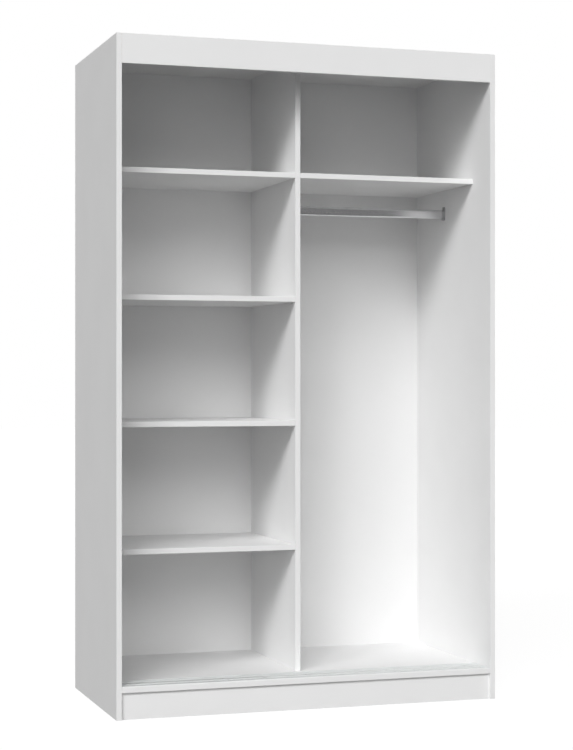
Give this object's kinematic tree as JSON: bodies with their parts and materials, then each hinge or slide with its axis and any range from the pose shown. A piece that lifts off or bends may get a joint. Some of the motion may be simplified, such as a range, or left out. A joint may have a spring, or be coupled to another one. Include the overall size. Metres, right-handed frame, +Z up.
{
  "type": "sliding door wardrobe, doors off",
  "caption": "White laminated wardrobe carcass for sliding doors, shown with its doors off: shelves on the left, a hanging bay with an oval rail on the right.",
  "frame": {"origin": "on the floor, in the middle of the overall width and depth", "axes": "+X to the right seen from the front, +Y to the back, +Z up"},
  "size_m": [1.2, 0.603, 2],
  "materials": {
    "white_laminate": "white melamine-faced chipboard, satin, with a very fine pearl grain",
    "white_edging": "white plastic edge banding, satin",
    "hardboard_back": "thin fibreboard, white lacquered inside and plain brown behind",
    "track_aluminium": "extruded, silver anodised, with fine lengthwise lines",
    "rail_chrome": "chrome-plated steel tube, bright",
    "zinc_fittings": "die-cast zinc, nickel plated, satin",
    "screw_steel": "zinc-plated steel, bright",
    "beech_dowel": "plain fluted beech",
    "white_plastic": "moulded white plastic"
  },
  "bodies": {
    "root": {"left_side_panel": "white_laminate", "right_side_panel": "white_laminate", "top_panel": "white_laminate", "bottom_panel": "white_laminate", "centre_divider": "white_laminate", "top_shelf_left": "white_laminate", "top_shelf_right": "white_laminate", "left_shelf_upper": "white_laminate", "left_shelf_middle": "white_laminate", "left_shelf_lower": "white_laminate", "front_pelmet": "white_laminate", "front_plinth": "white_laminate", "rear_plinth": "white_laminate", "centre_support": "white_laminate", "back_panel_left": "hardboard_back", "back_panel_right": "hardboard_back", "left_side_edge_band": "white_edging", "right_side_edge_band": "white_edging", "divider_edge_band": "white_edging", "bottom_panel_edge_band": "white_edging", "pelmet_edge_band": "white_edging", "shelf_edge_bands": "white_edging", "top_track": "track_aluminium", "bottom_track": "track_aluminium", "top_track_screws": "screw_steel", "bottom_track_screws": "screw_steel", "hanging_rail": "rail_chrome", "rail_flange_left": "zinc_fittings", "rail_flange_right": "zinc_fittings", "rail_flange_screws": "screw_steel", "cam_housings": "zinc_fittings", "cam_bolts": "screw_steel", "cam_caps": "white_plastic", "wood_dowels": "beech_dowel", "shelf_pins": "white_plastic", "back_panel_nails": "screw_steel", "plinth_brackets": "screw_steel", "bracket_screws": "screw_steel"}
  },
  "joints": []
}
